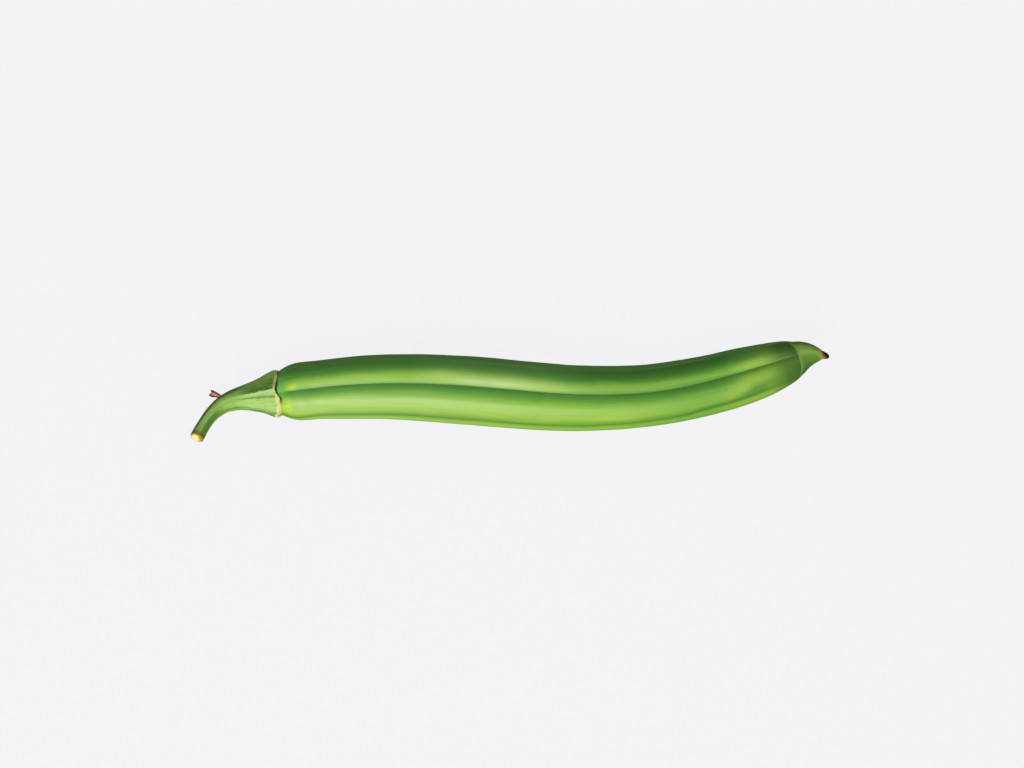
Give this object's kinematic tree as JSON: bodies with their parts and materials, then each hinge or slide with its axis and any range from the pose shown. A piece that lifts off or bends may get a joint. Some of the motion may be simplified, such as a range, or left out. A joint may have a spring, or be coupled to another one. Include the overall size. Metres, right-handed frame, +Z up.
{
  "type": "ribbed green bean pod",
  "caption": "Fresh ribbed green pod lying on its side, gently S-curved, with a flared stalk cap, hooked cut stalk, dried bract stub and a short beak with a dried style.",
  "frame": {"origin": "centre of the bounding box in X and Y, at the surface the pod rests on (z = 0)", "axes": "+X runs from the stalk to the tip of the pod, +Z up from the surface it rests on, +Y to the side that the tip bends to"},
  "size_m": [0.1278, 0.0195, 0.0136],
  "materials": {
    "pod_skin": "satin",
    "stalk_skin": "satin",
    "dried_bract": "matte",
    "dried_style": "matte"
  },
  "bodies": {
    "root": {"pod": "pod_skin", "stalk": "stalk_skin", "bract_stub": "dried_bract", "style_tip": "dried_style"}
  },
  "joints": []
}
